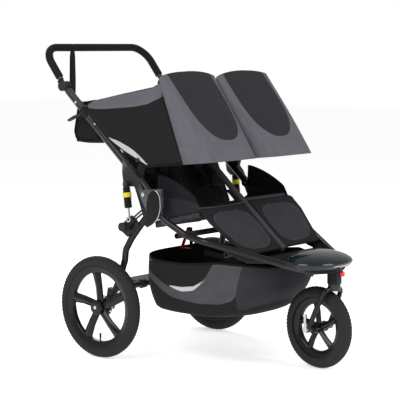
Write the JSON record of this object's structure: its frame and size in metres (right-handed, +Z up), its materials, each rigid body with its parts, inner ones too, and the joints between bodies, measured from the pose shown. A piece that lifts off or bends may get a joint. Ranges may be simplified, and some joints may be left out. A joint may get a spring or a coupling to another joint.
{
  "type": "double jogging stroller",
  "caption": "Side-by-side jogging stroller with folding tube frame, air-tyred wheels, swivelling front wheel, two padded seats, canopies and a storage basket.",
  "frame": {"origin": "on the ground under the middle of the stroller's bounding box", "axes": "+X forward, towards the front wheel; +Y to the stroller's left; +Z up"},
  "size_m": [1.2986, 0.79, 1.2224],
  "materials": {
    "frame_paint": "satin black paint",
    "casting": "dark satin cast",
    "black_plastic": "matt",
    "grip_foam": "soft foam",
    "nose_gloss": "gloss, dark slate",
    "red_button": "gloss red",
    "seat_fabric": "black woven",
    "grey_fabric": "grey woven",
    "red_webbing": "woven webbing",
    "steel": "satin",
    "wheel_plastic": "gloss black",
    "tyre": "moulded tread"
  },
  "bodies": {
    "chassis": {"left_side_rail": "frame_paint", "right_side_rail": "frame_paint", "left_hinge_casting": "casting", "right_hinge_casting": "casting", "head_bracket": "black_plastic", "nose_cover": "nose_gloss", "footrest_deck": "black_plastic", "seat_cross_tubes": "frame_paint", "left_seat_base": "seat_fabric", "right_seat_base": "seat_fabric", "basket": "seat_fabric", "fold_strap": "red_webbing", "pivot_bolts": "steel"},
    "swivel_lock": {"swivel_lock": "red_button"},
    "upper_frame": {"left_upper_tube": "frame_paint", "right_upper_tube": "frame_paint", "upper_cross_tube": "frame_paint", "tilt_housings": "black_plastic", "canopy_hubs": "black_plastic", "left_canopy_hood": "seat_fabric", "right_canopy_hood": "seat_fabric", "storage_pocket": "seat_fabric"},
    "handlebar": {"handle_tube": "frame_paint", "handle_grips": "grip_foam", "tilt_knuckles": "black_plastic", "wrist_strap": "seat_fabric"},
    "rear_carrier": {"left_gusset_arm": "casting", "right_gusset_arm": "casting"},
    "swing_arm": {"left_swing_leg": "frame_paint", "right_swing_leg": "frame_paint", "rear_axle_tube": "frame_paint"},
    "brake": {"brake_bar": "black_plastic"},
    "caster": {"fork": "frame_paint", "quick_release": "steel"},
    "front_wheel_body": {"front_wheel": "wheel_plastic", "front_tyre": "tyre"},
    "left_lever": {"left_fold_lever": "black_plastic"},
    "left_canopy": {"left_canopy_visor": "grey_fabric", "left_canopy_bow": "steel"},
    "left_back": {"left_seat_back": "seat_fabric", "left_harness": "seat_fabric"},
    "left_knob": {"left_ride_knob": "black_plastic"},
    "left_barrel": {"left_shock_barrel": "black_plastic"},
    "left_rod": {"left_shock_rod": "steel"},
    "left_rear_wheel_body": {"left_rear_wheel": "wheel_plastic", "left_rear_tyre": "tyre", "left_brake_disc": "steel"},
    "left_button": {"left_hub_button": "steel"},
    "right_lever": {"right_fold_lever": "black_plastic"},
    "right_canopy": {"right_canopy_visor": "grey_fabric", "right_canopy_bow": "steel"},
    "right_back": {"right_seat_back": "seat_fabric", "right_harness": "seat_fabric"},
    "right_knob": {"right_ride_knob": "black_plastic"},
    "right_barrel": {"right_shock_barrel": "black_plastic"},
    "right_rod": {"right_shock_rod": "steel"},
    "right_rear_wheel_body": {"right_rear_wheel": "wheel_plastic", "right_rear_tyre": "tyre", "right_brake_disc": "steel"},
    "right_button": {"right_hub_button": "steel"}
  },
  "joints": [
    {"name": "frame_fold", "type": "hinge", "parent": "chassis", "child": "upper_frame", "pos_m": [-0.0692, 0, 0.652], "axis": [0, 1, 0], "range_deg": [0, 130], "deforming": ["left_canopy_hood", "right_canopy_hood", "left_canopy_bow", "right_canopy_bow"]},
    {"name": "handlebar_tilt", "type": "hinge", "parent": "upper_frame", "child": "handlebar", "pos_m": [-0.5162, 0, 1.055], "axis": [0, 1, 0], "range_deg": [-45, 45]},
    {"name": "left_lever_squeeze", "type": "hinge", "parent": "upper_frame", "child": "left_lever", "pos_m": [-0.4284, 0.307, 0.94353], "axis": [0, 1, 0], "range_deg": [0, 12], "stiffness_Nm_per_rad": 1, "springref_deg": -11.46},
    {"name": "right_lever_squeeze", "type": "hinge", "parent": "upper_frame", "child": "right_lever", "pos_m": [-0.4284, -0.307, 0.94353], "axis": [0, 1, 0], "range_deg": [0, 12], "stiffness_Nm_per_rad": 1, "springref_deg": -11.46},
    {"name": "left_canopy_fold", "type": "hinge", "parent": "upper_frame", "child": "left_canopy", "pos_m": [-0.1032, 0.172, 0.782], "axis": [0, 1, 0], "range_deg": [-66.4, 0], "deforming": ["left_canopy_visor"]},
    {"name": "right_canopy_fold", "type": "hinge", "parent": "upper_frame", "child": "right_canopy", "pos_m": [-0.1032, -0.172, 0.782], "axis": [0, 1, 0], "range_deg": [-66.4, 0], "deforming": ["right_canopy_visor"]},
    {"name": "left_recline", "type": "hinge", "parent": "chassis", "child": "left_back", "pos_m": [-0.1312, 0.15, 0.536], "axis": [0, 1, 0], "range_deg": [-25, 0], "deforming": ["storage_pocket"]},
    {"name": "right_recline", "type": "hinge", "parent": "chassis", "child": "right_back", "pos_m": [-0.1312, -0.15, 0.536], "axis": [0, 1, 0], "range_deg": [-25, 0]},
    {"name": "rear_fold", "type": "hinge", "parent": "chassis", "child": "rear_carrier", "pos_m": [-0.0362, 0, 0.608], "axis": [0, 1, 0], "range_deg": [-70, 0], "deforming": ["basket"]},
    {"name": "suspension", "type": "hinge", "parent": "rear_carrier", "child": "swing_arm", "pos_m": [-0.0362, 0, 0.608], "axis": [0, 1, 0], "range_deg": [0, 6], "stiffness_Nm_per_rad": 400, "springref_deg": -5.16},
    {"name": "left_shock_turn", "type": "hinge", "parent": "rear_carrier", "child": "left_barrel", "pos_m": [-0.1602, 0.345, 0.687], "axis": [0, 1, 0], "range_deg": [-1, 2.75]},
    {"name": "right_shock_turn", "type": "hinge", "parent": "rear_carrier", "child": "right_barrel", "pos_m": [-0.1602, -0.345, 0.687], "axis": [0, 1, 0], "range_deg": [-1, 2.75]},
    {"name": "left_shock_stroke", "type": "slide", "parent": "left_barrel", "child": "left_rod", "axis": [-0.1249, 0, 0.9922], "range_m": [-0.0005, 0.0128]},
    {"name": "right_shock_stroke", "type": "slide", "parent": "right_barrel", "child": "right_rod", "axis": [-0.1249, 0, 0.9922], "range_m": [-0.0005, 0.0128]},
    {"name": "left_rear_wheel_spin", "type": "hinge", "parent": "swing_arm", "child": "left_rear_wheel_body", "pos_m": [-0.2812, 0.364, 0.2], "axis": [0, 1, 0], "continuous": true},
    {"name": "right_rear_wheel_spin", "type": "hinge", "parent": "swing_arm", "child": "right_rear_wheel_body", "pos_m": [-0.2812, -0.364, 0.2], "axis": [0, 1, 0], "continuous": true},
    {"name": "left_button_press", "type": "slide", "parent": "left_rear_wheel_body", "child": "left_button", "axis": [0, -1, 0], "range_m": [0, 0.004], "stiffness_N_per_m": 800, "springref_m": -0.002},
    {"name": "right_button_press", "type": "slide", "parent": "right_rear_wheel_body", "child": "right_button", "axis": [0, 1, 0], "range_m": [0, 0.004], "stiffness_N_per_m": 800, "springref_m": -0.002},
    {"name": "left_knob_turn", "type": "hinge", "parent": "swing_arm", "child": "left_knob", "pos_m": [-0.1752, 0.345, 0.521], "axis": [0, 1, 0], "range_deg": [0, 90]},
    {"name": "right_knob_turn", "type": "hinge", "parent": "swing_arm", "child": "right_knob", "pos_m": [-0.1752, -0.345, 0.521], "axis": [0, 1, 0], "range_deg": [0, 90]},
    {"name": "brake_press", "type": "hinge", "parent": "swing_arm", "child": "brake", "pos_m": [-0.2472, 0, 0.268], "axis": [0, 1, 0], "range_deg": [-20, 0]},
    {"name": "caster_swivel", "type": "hinge", "parent": "chassis", "child": "caster", "pos_m": [0.5688, 0, 0.33], "axis": [0, 0, 1], "continuous": true},
    {"name": "front_wheel_spin", "type": "hinge", "parent": "caster", "child": "front_wheel_body", "pos_m": [0.49439, 0.0094, 0.156], "axis": [0.1253, 0.9921, 0], "continuous": true},
    {"name": "swivel_lock_press", "type": "slide", "parent": "chassis", "child": "swivel_lock", "axis": [-1, 0, 0], "range_m": [0, 0.004], "stiffness_N_per_m": 800, "springref_m": -0.002}
  ],
  "couplings": [
    {"joint": "left_shock_turn", "follows": "suspension", "ratio": 0.2918},
    {"joint": "left_shock_stroke", "follows": "suspension", "m_per_rad": 0.11461},
    {"joint": "right_shock_turn", "follows": "suspension", "ratio": 0.2918},
    {"joint": "right_shock_stroke", "follows": "suspension", "m_per_rad": 0.11461}
  ]
}
